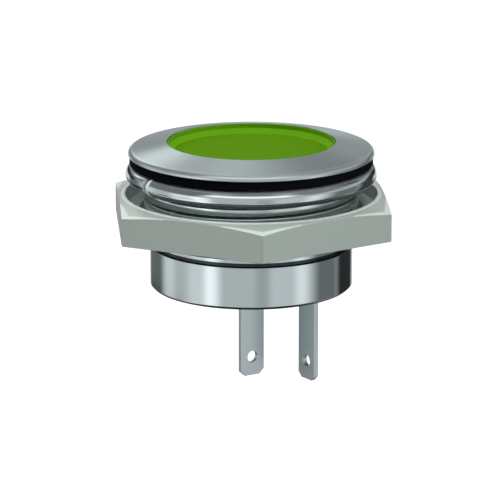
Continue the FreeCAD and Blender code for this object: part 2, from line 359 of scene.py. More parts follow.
SATIN_STEEL = Finish("satin_steel", (0.66, 0.76, 0.78), metallic=1.0, roughness=0.34,
                     anisotropy=0.9, uneven=0.02)
POLISHED_STEEL = Finish("polished_steel", (0.61, 0.70, 0.715), metallic=1.0, roughness=0.1,
                        uneven=0.02)
RIM_STEEL = Finish("rim_steel", (0.54, 0.61, 0.62), metallic=0.8, roughness=0.28)
# Near-black steel for painted shade in the undercut, the thread's root and the rear chamfer.
PAINTED_SHADE_STEEL = Finish("painted_shade_steel", (0.045, 0.055, 0.06), metallic=0.9, roughness=0.25)
THREAD_STEEL = Finish("thread_steel", (0.66, 0.74, 0.75), metallic=0.95, roughness=0.12)
RING_STEEL = Finish("ring_steel", (0.61, 0.69, 0.70), metallic=0.95, roughness=0.08, uneven=0.03)
# Pale matte steel for a painted highlight on the ring's domed tip.
RING_TIP_HIGHLIGHT = Finish("ring_tip_highlight", (0.93, 0.95, 0.97), metallic=0.1, roughness=0.4)
# Dark steel for painted shade on the ring's underside.
RING_SHADE = Finish("ring_shade", (0.1, 0.12, 0.125), metallic=0.95, roughness=0.15)
# Dull grey for painted light on the ring's top.
RING_TOP_PAINTED_LIGHT = Finish("ring_top_painted_light", (0.24, 0.27, 0.275), metallic=0.25, roughness=0.3)
NUT_NICKEL = Finish("satin_nickel", (0.465, 0.54, 0.495), metallic=0.2, roughness=0.3,
                    grain=Grain.FINE, grain_per_mm=8.0, grain_depth_mm=0.0003, uneven=0.04)
# Pale nickel for painted light inside the nut's recess.
NUT_RECESS_PAINTED_LIGHT = Finish("nickel_recess_painted_light", (0.86, 0.93, 0.88), metallic=0.1, roughness=0.4)
# Bright nickel for painted highlights on the recess rim and beside the nut's corners.
NUT_PAINTED_HIGHLIGHT = Finish("nickel_painted_highlight", (0.70, 0.79, 0.73), metallic=0.1, roughness=0.35)
LENS_GREEN = Finish("green_acrylic", (0.095, 0.25, 0.005), roughness=0.3, ior=1.02)
# Lighter green for painted light on the lens's bevel.
LENS_BEVEL_PAINTED_LIGHT = Finish("green_bevel_painted_light", (0.13, 0.35, 0.008), roughness=0.3, ior=1.05)
GASKET_RUBBER = Finish("black_rubber", (0.005, 0.006, 0.008), roughness=0.6, ior=1.04)
TIN_PLATE = Finish("tin_plate", (0.58, 0.66, 0.675), metallic=1.0, roughness=0.34,
                   grain=Grain.DRAWN, grain_per_mm=10.0, grain_depth_mm=0.0003, uneven=0.04)
SEAL_RUBBER = Finish("seal_black", (0.012, 0.012, 0.013), roughness=0.6)
BRASS = Finish("turned_brass", (0.62, 0.46, 0.2), metallic=1.0, roughness=0.28,
               grain=Grain.TURNED, grain_per_mm=6.0, grain_depth_mm=0.0005)
OPAL = Finish("opal_plastic", (0.83, 0.86, 0.8), roughness=0.35, subsurface=0.4)
WHITE_PLASTIC = Finish("white_plastic", (0.8, 0.8, 0.78), roughness=0.45)
BOARD_GREEN = Finish("green_laminate", (0.02, 0.13, 0.045), roughness=0.4,
                     grain=Grain.FINE, grain_per_mm=5.0, grain_depth_mm=0.002)
CHIP_WHITE = Finish("chip_ceramic", (0.78, 0.78, 0.72), roughness=0.4)
CHIP_BLACK = Finish("chip_epoxy", (0.015, 0.015, 0.017), roughness=0.5)
SOLDER = Finish("dull_solder", (0.62, 0.62, 0.63), metallic=1.0, roughness=0.3)
BASE_PLASTIC = Finish("moulded_black", (0.02, 0.02, 0.022), roughness=0.5,
                      grain=Grain.FINE, grain_per_mm=8.0, grain_depth_mm=0.002)
RESIN = Finish("cast_resin", (0.018, 0.018, 0.02), roughness=0.2)


@dataclass(frozen=True)
class Corner:
    """A corner of a turned outline: its radius from the axis, its height, its rounding."""

    r: float
    z: float
    rounding: float = 0.0


def corner_points(before: Vector, corner: Vector, after: Vector, rounding: float) -> list[Vector]:
    """The points that round a corner, with a support point on each straight run.

    Args:
        before: The corner before it.
        corner: The corner itself.
        after: The corner after it.
        rounding: The radius of the round.

    Returns:
        The points in order.
    """
    to_before, to_after = before - corner, after - corner
    room_before, room_after = to_before.length, to_after.length
    to_before.normalize()
    to_after.normalize()
    half = math.acos(max(-1.0, min(1.0, to_before.dot(to_after)))) / 2
    setback = rounding / math.tan(half)
    centre = corner + (to_before + to_after).normalized() * (rounding / math.sin(half))
    start, end = corner + to_before * setback, corner + to_after * setback
    turn = math.pi - 2 * half
    steps = max(3, math.ceil(math.degrees(turn) / ARC_STEP_DEG))
    first, last = start - centre, end - centre
    points = []
    for step in range(steps + 1):
        share = step / steps
        weight_first = math.sin((1 - share) * turn) / math.sin(turn)
        weight_last = math.sin(share * turn) / math.sin(turn)
        points.append(centre + first * weight_first + last * weight_last)
    if room_before > setback + 3 * SUPPORT_MM:
        points.insert(0, start + to_before * SUPPORT_MM)
    if room_after > setback + 3 * SUPPORT_MM:
        points.append(end + to_after * SUPPORT_MM)
    return points


def rounded_outline(corners: Sequence[Corner]) -> list[tuple[float, float]]:
    """The points of a turned outline, walked so that its outside is on the right.

    Args:
        corners: The outline's corners, in either direction.

    Returns:
        The points as (radius, height) pairs.
    """
    places = [Vector((c.r, c.z)) for c in corners]
    area = sum(a.x * b.y - b.x * a.y for a, b in zip(places, places[1:] + places[:1]))
    points: list[Vector] = []
    for index, corner in enumerate(corners):
        before, after = places[index - 1], places[(index + 1) % len(corners)]
        if corner.rounding:
            points += corner_points(before, places[index], after, corner.rounding)
        else:
            points.append(places[index])
    if area < 0:
        points.reverse()
    return [(p.x, p.y) for p in points]


def mesh_object(name: str, points: np.ndarray,
                faces: Sequence[Sequence[int]]) -> bpy.types.Object:
    """A mesh object at the origin, smooth except at its sharp edges.

    Args:
        name: The piece's name.
        points: Its points in millimetres.
        faces: Its faces by point number.

    Returns:
        The object, linked to the scene.
    """
    mesh = bpy.data.meshes.new(name)
    mesh.from_pydata((points * MM).tolist(), [], faces)
    mesh.validate()
    return finished_object(name, mesh)


def finished_object(name: str, mesh: bpy.types.Mesh,
                    sharp_deg: float = SHARP_ANGLE_DEG) -> bpy.types.Object:
    """Smooths a mesh and puts it in the scene.

    Args:
        name: The piece's name.
        mesh: The finished mesh, in the frame's place.
        sharp_deg: The angle beyond which an edge stays sharp.

    Returns:
        The object, linked to the scene.
    """
    mesh.shade_smooth()
    mesh.set_sharp_from_angle(angle=math.radians(sharp_deg))
    piece = bpy.data.objects.new(name, mesh)
    bpy.context.scene.collection.objects.link(piece)
    return piece


def turned_piece(name: str, corners: Sequence[Corner]) -> bpy.types.Object:
    """A closed solid that an outline sweeps about the axis.

    Args:
        name: The piece's name.
        corners: The outline's corners. Two on the axis close it with poles.

    Returns:
        The piece.
    """
    outline = rounded_outline(corners)
    angles = np.linspace(0, 2 * math.pi, TURNED_STEPS, endpoint=False)
    points: list[tuple[float, float, float]] = []
    rows: list[list[int]] = []
    for radius, height in outline:
        if radius < WELD_MM:
            rows.append([len(points)] * TURNED_STEPS)
            points.append((0.0, 0.0, height))
        else:
            rows.append(list(range(len(points), len(points) + TURNED_STEPS)))
            points += [(radius * math.cos(a), radius * math.sin(a), height) for a in angles]
    faces = []
    for low, high in zip(rows, rows[1:] + rows[:1]):
        if low[0] == low[1] and high[0] == high[1]:
            continue
        for k in range(TURNED_STEPS):
            turn = (k + 1) % TURNED_STEPS
            ring = [low[k], low[turn], high[turn], high[k]]
            faces.append(list(dict.fromkeys(ring)))
    return mesh_object(name, np.array(points), faces)


def dress(piece: bpy.types.Object, *finishes: Finish) -> None:
    """Gives a piece its finishes in place of any that it has.

    Args:
        piece: The piece or CAD node.
        *finishes: The finishes, by material slot.
    """
    piece.data.materials.clear()
    for finish in finishes:
        piece.data.materials.append(finish.material())


def seat(piece: bpy.types.Object, body: Body, slot: str, *nodes: str) -> None:
    """Ties a piece to its body and hides the CAD nodes that it stands for.

    Args:
        piece: The finished piece.
        body: The body that carries it.
        slot: Not used.
        *nodes: The CAD nodes that it replaces.
    """
    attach(piece, body.value)
    if nodes:
        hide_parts(*nodes)
    log.info("%s: %d faces on %s", piece.name, len(piece.data.polygons), body.value)


class RuleTree(NodeSheet):
    """A Geometry Nodes tree that makes a whole piece from named sizes."""

    def __init__(self, name: str, sizes: dict[str, Union[float, int]]) -> None:
        """Opens the tree and gives it an input for each size.

        Args:
            name: The tree's name.
            sizes: The sizes by name, whole numbers for counts.
        """
        super().__init__(bpy.data.node_groups.new(name, "GeometryNodeTree"))
        self.sizes = sizes
        for key, value in sizes.items():
            kind = "NodeSocketInt" if isinstance(value, int) else "NodeSocketFloat"
            self.tree.interface.new_socket(name=key, in_out="INPUT", socket_type=kind)
        self.tree.interface.new_socket(name="Geometry", in_out="OUTPUT",
                                       socket_type="NodeSocketGeometry")
        self.group_in = self.add("NodeGroupInput")
        self.group_out = self.add("NodeGroupOutput")

    def size(self, name: str) -> Socket:
        """The socket of a named size."""
        return self.group_in.outputs[name]

    def moved(self, geometry: Socket, place: Socket) -> Socket:
        """Sets each point of a geometry to a place.

        Args:
            geometry: The geometry's socket.
            place: The place's socket, read at each point.

        Returns:
            The socket of the moved geometry.
        """
        node = self.add("GeometryNodeSetPosition")
        self.feed(node.inputs["Geometry"], geometry)
        self.feed(node.inputs["Position"], place)
        return node.outputs[0]

    def merged(self, geometry: Socket) -> Socket:
        """Welds points that lie on each other.

        Args:
            geometry: The geometry's socket.

        Returns:
            The socket of the welded geometry.
        """
        node = self.add("GeometryNodeMergeByDistance")
        self.feed(node.inputs["Geometry"], geometry)
        node.inputs["Distance"].default_value = WELD_MM * MM
        return node.outputs[0]

    def grown(self, name: str, geometry: Socket, finish: Finish) -> bpy.types.Object:
        """Ends the tree, runs it once and keeps the result as a plain mesh.

        Args:
            name: The piece's name.
            geometry: The last geometry of the tree.
            finish: The piece's finish.

        Returns:
            The piece.
        """
        realize = self.add("GeometryNodeRealizeInstances")
        self.feed(realize.inputs[0], geometry)
        paint = self.add("GeometryNodeSetMaterial")
        self.feed(paint.inputs["Geometry"], realize.outputs[0])
        paint.inputs["Material"].default_value = finish.material()
        self.feed(self.group_out.inputs[0], paint.outputs[0])
        carrier = bpy.data.objects.new(name + "_rule", bpy.data.meshes.new(name + "_rule"))
        bpy.context.scene.collection.objects.link(carrier)
        modifier = carrier.modifiers.new("rule", "NODES")
        modifier.node_group = self.tree
        for item in self.tree.interface.items_tree:
            if item.in_out == "INPUT":
                modifier[item.identifier] = self.sizes[item.name]
        graph = bpy.context.evaluated_depsgraph_get()
        mesh = bpy.data.meshes.new_from_object(carrier.evaluated_get(graph))
        mesh.name = name
        carrier.modifiers.remove(modifier)
        bpy.data.objects.remove(carrier)
        return finished_object(name, mesh)


@dataclass
class NeckThread:
    """Right-hand thread of the neck, a helical ridge with a bright crest, and painted shade at
    its root and on its downward flanks.
    """

    crest: float = 10.9
    root: float = 10.6
    inner: float = 10.0
    pitch: float = 1.0
    bottom: float = -7.55
    top: float = GASKET.high - 0.02
    lead_in: float = 0.45
    crest_power: float = 8.0
    phase: float = 0.42
    shaded_root_below: float = 10.68
    shaded_flank_slope: float = -0.3
    columns: int = 240
    rows_per_turn: int = 16

    def build(self) -> bpy.types.Object:
        """Makes the thread as a closed sleeve.

        Returns:
            The piece.
        """
        turns = (self.top - self.bottom + self.pitch) / self.pitch
        rows = math.ceil(turns * self.rows_per_turn) + 1
        tree = RuleTree("thread_rule", {
            "Crest Radius": self.crest, "Root Radius": self.root, "Inner Radius": self.inner,
            "Pitch": self.pitch, "Bottom": self.bottom, "Top": self.top,
            "Lead In": self.lead_in, "Crest Power": self.crest_power, "Phase": self.phase,
            "Columns": self.columns, "Rows": rows, "Rows Per Turn": self.rows_per_turn,
            "Scale": MM,
        })
        grid = tree.add("GeometryNodeMeshGrid")
        grid.inputs["Size X"].default_value = 1.0
        grid.inputs["Size Y"].default_value = 1.0
        tree.feed(grid.inputs["Vertices X"], tree.size("Columns"))
        tree.feed(grid.inputs["Vertices Y"], tree.plus(tree.size("Rows"), 3.0))
        angle, height, radius = self._cylinder_places(tree)
        across = tree.times(radius, tree.math("COSINE", angle))
        along = tree.times(radius, tree.math("SINE", angle))
        scaled = (tree.times(value, tree.size("Scale")) for value in (across, along, height))
        sleeve = tree.moved(grid.outputs[0], tree.vector(*scaled))
        thread = tree.grown("neck_thread", tree.merged(sleeve), THREAD_STEEL)
        # Faces at the root and facing down get near-black steel: painted shade.
        dress(thread, THREAD_STEEL, PAINTED_SHADE_STEEL)
        for face in thread.data.polygons:
            in_shaded_root = face.center.xy.length < self.shaded_root_below * MM
            face.material_index = int(in_shaded_root or face.normal.z < self.shaded_flank_slope)
        return thread

    def _cylinder_places(self, tree: RuleTree) -> tuple[Socket, ...]:
        """The angle, height and radius of each grid point, the last rows being the inside.

        Args:
            tree: The tree.

        Returns:
            The three sockets.
        """
        across, along, _ = tree.parts(tree.add("GeometryNodeInputPosition").outputs[0])
        angle = tree.times(tree.plus(across, 0.5), 2 * math.pi)
        rows = tree.size("Rows")
        row = tree.times(tree.plus(along, 0.5), tree.plus(rows, 2.0))
        turns = tree.over(angle, 2 * math.pi)
        climb = tree.plus(tree.over(row, tree.size("Rows Per Turn")), turns)
        height = tree.times(tree.minus(climb, 1.0), tree.size("Pitch"))
        height = tree.plus(height, tree.size("Bottom"))
        height = tree.math("MAXIMUM", tree.math("MINIMUM", height, tree.size("Top")),
                           tree.size("Bottom"))
        span = tree.minus(tree.size("Top"), tree.size("Bottom"))
        back = tree.math("GREATER_THAN", row, tree.plus(rows, 0.5))
        height = tree.minus(height, tree.times(back, span))
        inside = tree.times(tree.math("GREATER_THAN", row, tree.minus(rows, 0.5)),
                            tree.math("LESS_THAN", row, tree.plus(rows, 1.5)))
        ridge = self._ridge_radius(tree, angle, height)
        inward = tree.minus(tree.size("Inner Radius"), ridge)
        radius = tree.math("MULTIPLY_ADD", inside, inward, ridge)
        return angle, height, radius

    @staticmethod
    def _ridge_radius(tree: RuleTree, angle: Operand, height: Operand) -> Socket:
        """The radius of the ridge at an angle and height, cut down at the lead-in.

        Args:
            tree: The tree.
            angle: The angle about the axis.
            height: The height along it.

        Returns:
            The radius socket.
        """
        turns = tree.over(angle, 2 * math.pi)
        phase = tree.minus(tree.over(height, tree.size("Pitch")), turns)
        phase = tree.plus(phase, tree.plus(tree.size("Phase"), 0.5))
        phase = tree.minus(tree.math("FRACT", phase), 0.5)
        off_crest = tree.times(tree.math("ABSOLUTE", phase), 2.0)
        depth = tree.minus(tree.size("Crest Radius"), tree.size("Root Radius"))
        fall = tree.times(tree.math("POWER", off_crest, tree.size("Crest Power")), depth)
        radius = tree.minus(tree.size("Crest Radius"), fall)
        above_end = tree.minus(height, tree.size("Bottom"))
        missing = tree.math("MAXIMUM", tree.minus(tree.size("Lead In"), above_end), 0.0)
        limit = tree.minus(tree.size("Crest Radius"), missing)
        return tree.math("MINIMUM", radius, limit)


@dataclass
class Housing:
    """Bezel flange, threaded neck, undercut and rear body of one turned piece."""

    window: float = 8.55
    flange: float = HOUSING.radius
    face_rim: float = 2.242
    flange_corner: float = 1.45
    flange_rear: float = GASKET.high
    flange_rear_round: float = 0.07
    edge_round: float = 0.54
    rim_overlap: float = 0.02
    neck_core: float = 10.2
    core_chamfer: float = 0.05
    undercut: float = 9.95
    undercut_round: float = 0.08
    body_top: float = -8.4
    body_top_round: float = 0.06
    # Height of the painted shade band at the bottom of the undercut.
    groove_shade: float = 0.38
    body: float = 10.3
    rear: float = HOUSING.low
    rear_chamfer: float = 0.3
    rear_round: float = 0.1
    rear_face_round: float = 0.06
    # Share of the rear chamfer that gets painted shade.
    rear_shade_share: float = 0.9
    bore: float = RESIN_SEAL.radius
    bore_round: float = 0.12
    step: float = LENS_SEAL.high
    step_round: float = 0.04
    window_round: float = 0.06
    thread: NeckThread = field(default_factory=NeckThread)

    def build(self) -> None:
        """Makes the turned shell and the thread, which stand for the CAD housing."""
        shell = turned_piece("bezel_shell", self._outline())
        # Index 3 is a near-black steel: painted shade in the groove and on the rear chamfer.
        dress(shell, SATIN_STEEL, RIM_STEEL, POLISHED_STEEL, PAINTED_SHADE_STEEL)
        for face in shell.data.polygons:
            face.material_index = self._finish_index(face.center / MM)
        seat(shell, Body.HOUSING, "bezel_steel", "bezel_housing")
        seat(self.thread.build(), Body.HOUSING, "bezel_steel", "bezel_housing")

    def _finish_index(self, place: Vector) -> int:
        """Which of the shell's finishes a place on it has.

        Args:
            place: The place in millimetres.

        Returns:
            0 on the face, 1 on the rim, 2 on polished parts, 3 for the painted shade in the
            groove and on the rear chamfer.
        """
        # The rear chamfer gets painted shade.
        if place.z < self.rear + self.rear_shade_share * self.rear_chamfer:
            return 3
        if place.z >= GASKET.low:
            return int(place.xy.length > self.flange - self.edge_round - self.rim_overlap)
        # The bottom of the undercut gets painted shade.
        in_groove = self.body_top < place.z < self.body_top + self.groove_shade
        return 3 if in_groove and place.xy.length < self.body else 2

    def _outline(self) -> list[Corner]:
        """The outline of the shell, from the window outwards and down.

        Returns:
            The outline's corners.
        """
        groove_top = self.thread.bottom
        return [
            Corner(self.window, self.face_rim, self.window_round),
            Corner(self.flange, self.flange_corner, self.edge_round),
            Corner(self.flange, self.flange_rear, self.flange_rear_round),
            Corner(self.neck_core, self.flange_rear),
            Corner(self.neck_core, groove_top + self.core_chamfer),
            Corner(self.undercut, groove_top),
            Corner(self.undercut, self.body_top + self.groove_shade),
            Corner(self.undercut, self.body_top, self.undercut_round),
            Corner(self.body, self.body_top, self.body_top_round),
            Corner(self.body, self.rear + self.rear_chamfer, self.rear_round),
            Corner(self.body - self.rear_chamfer, self.rear, self.rear_face_round),
            Corner(self.bore, self.rear, self.bore_round),
            Corner(self.bore, self.step),
            Corner(self.window, self.step, self.step_round),
        ]


@dataclass
class LockRing:
    """Split ring of round wire, its lower tip domed, wound along a shallow helix.

    Its top has a lighter grey as painted light, its underside a dark steel as painted shade, and
    its domed tip a pale painted highlight.
    """

    centre: float = 11.88
    wire: float = 0.9
    rise_per_turn: float = 0.1
    gap: float = 0.15
    tip_angle: float = -148.0
    below_gasket: float = 0.06
    points: int = 360
    end_round: float = 0.72
    end_points: int = 12
    # How far the tip's painted highlight reaches along the wire, in millimetres.
    tip_highlight_reach: float = 0.95
    shade_slope: float = -0.33
    top_slope: float = 0.78
    sides: int = 40

    def build(self) -> None:
        """Makes the ring, which stands for the CAD ring."""
        start_height = GASKET.low - self.below_gasket - self.rise_per_turn - self.wire
        tree = RuleTree("ring_rule", {
            "Centre Radius": self.centre * MM, "Wire Radius": self.wire * MM,
            "Rise": self.rise_per_turn * MM, "Sweep": 2 * math.pi - self.gap / self.centre,
            "Start Angle": math.radians(self.tip_angle), "Start Height": start_height * MM,
            "Points": self.points, "End Points": self.end_points,
            "End Round": self.end_round * MM, "Sides": self.sides,
        })
        ring = tree.grown("lock_ring_wire", tree.merged(self._wire(tree)), RING_STEEL)
        # The ring gets painted light on top, painted shade underneath and a painted highlight on
        # its tip.
        dress(ring, RING_STEEL, RING_TIP_HIGHLIGHT, RING_SHADE, RING_TOP_PAINTED_LIGHT)
        for face in ring.data.polygons:
            face.material_index = self._finish_index(face.center, face.normal.z)
        seat(ring, Body.LOCK_RING, "ring_wire", "lock_ring")

    def _wire(self, tree: RuleTree) -> Socket:
        """Sweeps the wire's round section along its helix.

        Args:
            tree: The tree.

        Returns:
            The socket of the wire's mesh.
        """
        line = tree.add("GeometryNodeMeshLine")
        tree.feed(line.inputs["Count"], tree.size("Points"))
        angle, girth = self._along(tree)
        turned = tree.plus(angle, tree.size("Start Angle"))
        radius = tree.size("Centre Radius")
        climb = tree.over(tree.times(angle, tree.size("Rise")), 2 * math.pi)
        place = tree.vector(tree.times(radius, tree.math("COSINE", turned)),
                            tree.times(radius, tree.math("SINE", turned)),
                            tree.plus(climb, tree.size("Start Height")))
        store = tree.add("GeometryNodeStoreNamedAttribute", data_type="FLOAT", domain="POINT")
        tree.feed(store.inputs["Geometry"], tree.moved(line.outputs[0], place))
        store.inputs["Name"].default_value = "girth"
        tree.feed(store.inputs["Value"], girth)
        path = tree.add("GeometryNodeMeshToCurve")
        tree.feed(path.inputs[0], store.outputs[0])
        kept = tree.add("GeometryNodeInputNamedAttribute", data_type="FLOAT")
        kept.inputs["Name"].default_value = "girth"
        section = tree.add("GeometryNodeCurvePrimitiveCircle")
        tree.feed(section.inputs["Resolution"], tree.size("Sides"))
        tree.feed(section.inputs["Radius"], tree.size("Wire Radius"))
        sweep = tree.add("GeometryNodeCurveToMesh")
        tree.feed(sweep.inputs["Curve"], path.outputs[0])
        tree.feed(sweep.inputs["Profile Curve"], section.outputs[0])
        tree.feed(sweep.inputs["Scale"], kept.outputs[0])
        sweep.inputs["Fill Caps"].default_value = True
        return sweep.outputs[0]

    def _finish_index(self, place: Vector, slope: float) -> int:
        """Which of the ring's finishes a face has.

        Args:
            place: The middle of the face.
            slope: The height part of its normal.

        Returns:
            0 in front, 1 on the domed tip's painted highlight, 2 on the painted shade underneath
            and 3 on the painted light on top.
        """
        tip = math.radians(self.tip_angle)
        ahead = (math.atan2(place.y, place.x) - tip) % (2 * math.pi)
        if ahead < self.tip_highlight_reach / self.centre:
            return 1
        if slope < self.shade_slope:
            return 2
        return 3 if slope > self.top_slope else 0

    @staticmethod
    def _along(tree: RuleTree) -> tuple[Socket, Socket]:
        """How far along the ring a point lies, and how thick the wire is there.

        The first points crowd together so that they round the tip to a dome.

        Args:
            tree: The tree.

        Returns:
            The sockets of the angle and of the thickness as a share of the wire.
        """
        index = tree.add("GeometryNodeInputIndex").outputs[0]
        last = tree.minus(tree.size("Points"), 1.0)
        crowd = tree.size("End Points")
        from_tip = tree.math("MINIMUM", tree.over(index, crowd), 1.0)
        turn = tree.times(from_tip, math.pi / 2)
        plain = tree.over(tree.minus(index, crowd), tree.minus(last, crowd))
        plain = tree.math("MAXIMUM", plain, 0.0)
        dome = tree.over(tree.size("End Round"), tree.size("Centre Radius"))
        rounded = tree.minus(1.0, tree.math("COSINE", turn))
        straight = tree.minus(tree.size("Sweep"), dome)
        angle = tree.math("MULTIPLY_ADD", straight, plain, tree.times(dome, rounded))
        share = tree.over(tree.size("End Round"), tree.size("Wire Radius"))
        loss = tree.times(share, tree.minus(1.0, tree.math("SINE", turn)))
        return angle, tree.minus(1.0, loss)


@dataclass
class HexNut:
    """Hexagonal nut with a coned front face and a wide recess; the recess is painted lighter as
    painted light, and its rim and the front face beside the corners carry painted highlights.
    """

    apothem: float = 13.5
    corner_angle: float = -85.8
    corner_round: float = 0.12
    rim_z: float = NUT.high
    rear: float = NUT.low
    recess: float = 12.8
    rim_width: float = 0.15
    # The next six sizes set the painted highlight bands on the recess rim and beside the corners.
    rim_band: float = 0.3
    corner_band: float = 0.7
    corner_reach: float = 5.0
    narrowest_band: float = 0.05
    bright_share: float = 0.8
    front_slope: float = 0.5
    rim_outer_edge: float = 0.03
    rim_inner_edge: float = 0.02
    lip_edge: float = 0.04
    lip_corner: float = 0.012
    floor_edge: float = 0.1
    floor_corner: float = 0.03
    recess_depth: float = 1.5
    bore: float = 10.98
    chamfer: float = 0.4
    cone_deg: float = 14.0
    edge: float = 0.06
    edge_steps: tuple[tuple[float, float, float], ...] = (
        (0.2, 0.42, 0.0), (0.6, 0.1, 0.3), (1.0, 0.0, 1.0))
    corner_support_deg: float = 0.06
    flat_steps: int = 44
    round_steps: int = 10

    def build(self) -> None:
        """Makes the nut, which stands for the CAD nut."""
        angles = self._angles()
        outer = np.array([self._hexagon(a) for a in angles])
        rows = self._rows(outer)
        count = len(angles)
        cos, sin = np.cos(angles), np.sin(angles)
        points = np.concatenate([np.stack([r * cos, r * sin, z], axis=1) for r, z in rows])
        faces = []
        for row in range(len(rows)):
            low, high = row * count, (row + 1) % len(rows) * count
            for k in range(count):
                turn = (k + 1) % count
                faces.append([low + k, low + turn, high + turn, high + k])
        nut = mesh_object("hex_nut_body", points, faces)
        # The recess is painted lighter as painted light; its rim and the face beside the corners
        # get painted highlights.
        dress(nut, NUT_NICKEL, NUT_RECESS_PAINTED_LIGHT, NUT_PAINTED_HIGHLIGHT)
        for face in nut.data.polygons:
            face.material_index = self._finish_index(face.center / MM, face.normal.z)
        seat(nut, Body.HEX_NUT, "nut_nickel", "hex_nut")

    def _finish_index(self, place: Vector, slope: float) -> int:
        """Which of the nut's finishes a face has.

        Args:
            place: The middle of the face in millimetres.
            slope: The height part of its normal.

        Returns:
            0 on most faces, 1 for the painted light in the recess, 2 for the painted highlights
            on its rim and beside the corners.
        """
        radius = place.xy.length
        if place.z < self.rim_z - self.recess_depth - SUPPORT_MM:
            return 0
        # The recess gets painted light and its rim band a painted highlight.
        if radius < self.recess + self.rim_width + self.rim_band:
            return 1 if radius < self.recess + SUPPORT_MM else 2
        # On the front face beside the corners, a painted highlight band.
        outer = self._hexagon(math.atan2(place.y, place.x))
        band = self._corner_band(np.array(outer))
        from_edge = outer - radius - self.edge
        in_band = band > self.narrowest_band and from_edge < self.bright_share * band
        return 2 if in_band and slope > self.front_slope else 0

    def _corner_band(self, outer: np.ndarray) -> np.ndarray:
        """The width of the painted highlight band beside a corner, which tapers along the flats.

        Args:
            outer: The hexagon's distance at each column.

        Returns:
            The width at each column.
        """
        along = np.sqrt(np.maximum(outer**2 - self.apothem**2, 0.0))
        to_corner = self.apothem * math.tan(math.pi / 6) - along
        return self.corner_band * np.clip(1 - to_corner / self.corner_reach, 0.0, 1.0)

    def _angles(self) -> np.ndarray:
        """The angles of the mesh's columns, crowded at the six corners.

        Returns:
            The angles, once round the axis.
        """
        arc_start = math.atan((1 - self.corner_round / self.apothem) * math.tan(math.pi / 6))
        support = math.radians(self.corner_support_deg)
        flat = np.linspace(-arc_start + support, arc_start - support, self.flat_steps)
        arc = np.linspace(arc_start, math.pi / 3 - arc_start, self.round_steps)
        first_flat = math.radians(self.corner_angle) + math.pi / 6
        return np.concatenate([first_flat + k * math.pi / 3 + np.concatenate([flat, arc])
                               for k in range(6)])

    def _hexagon(self, angle: float) -> float:
        """The distance from the axis to the rounded hexagon.

        Args:
            angle: The angle about the axis.

        Returns:
            The distance.
        """
        sixth = math.pi / 3
        first_flat = math.radians(self.corner_angle) + sixth / 2
        off = abs((angle - first_flat + sixth / 2) % sixth - sixth / 2)
        inner = self.apothem - self.corner_round
        if off <= math.atan(inner * math.tan(sixth / 2) / self.apothem):
            return self.apothem / math.cos(off)
        centre = inner / math.cos(sixth / 2)
        rest = sixth / 2 - off
        reach_round = math.sqrt(self.corner_round**2 - (centre * math.sin(rest))**2)
        return centre * math.cos(rest) + reach_round

    def _rows(self, outer: np.ndarray) -> list[tuple[np.ndarray, np.ndarray]]:
        """The mesh's rows as radii and heights, up the sides and down the bore.

        Args:
            outer: The hexagon's distance at each column.

        Returns:
            One pair of arrays for each row.
        """
        level = np.ones_like(outer)
        rear = self.rear
        rim = self.recess + self.rim_width
        slope = math.tan(math.radians(self.cone_deg))
        floor = self.rim_z - self.recess_depth
        edge, near = self.edge, SUPPORT_MM
        top = self.rim_z - (outer - rim) * slope
        rows: list[tuple[np.ndarray, np.ndarray]] = []
        for turn in (0.0, 0.5, 1.0):
            swing = turn * math.pi / 2
            rows.append((outer - edge * (1 - math.sin(swing)),
                         level * (rear + edge * (1 - math.cos(swing)))))
        rows.append((outer, level * (rear + edge + near)))
        rows.append((outer, top - edge - near))
        rows.append((outer, top - edge))
        for inward, down, lift in self.edge_steps:
            rows.append((outer - inward * edge, top + (lift * slope - down) * edge))
        rows.append((outer - edge - near, top + (edge + near) * slope))
        band = edge + 2 * near + self._corner_band(outer)
        rows.append((outer - band, top + band * slope))
        rows.append((level * (rim + self.rim_band), level * (self.rim_z - self.rim_band * slope)))
        for radius, height in (
            (rim + self.rim_outer_edge, self.rim_z - self.rim_outer_edge * slope),
            (rim - self.rim_inner_edge, self.rim_z), (self.recess + self.lip_edge, self.rim_z),
            (self.recess + self.lip_corner, self.rim_z - self.lip_corner),
            (self.recess, self.rim_z - self.lip_edge), (self.recess, floor + self.floor_edge),
            (self.recess - self.floor_corner, floor + self.floor_corner),
            (self.recess - self.floor_edge, floor),
            (self.bore + self.chamfer + near, floor), (self.bore + self.chamfer, floor),
            (self.bore, floor - self.chamfer), (self.bore, rear + self.chamfer),
            (self.bore + self.chamfer, rear), (self.bore + self.chamfer + near, rear),
        ):
            rows.append((level * radius, level * height))
        rows.append((outer - edge - near, level * rear))
        return rows


@dataclass
class Gasket:
    """Flat black gasket under the flange."""

    outer: float = GASKET.radius
    bore: float = 11.0
    rear: float = GASKET.low
    front: float = GASKET.high
    edge: float = 0.1
    bore_edge: float = 0.05

    def build(self) -> None:
        """Makes the gasket, which stands for the CAD gasket."""
        gasket = turned_piece("gasket_ring", [
            Corner(self.bore, self.rear, self.bore_edge),
            Corner(self.outer, self.rear, self.edge),
            Corner(self.outer, self.front, self.edge),
            Corner(self.bore, self.front, self.bore_edge),
        ])
        dress(gasket, GASKET_RUBBER)
        seat(gasket, Body.HOUSING, "gasket_rubber", "panel_gasket")


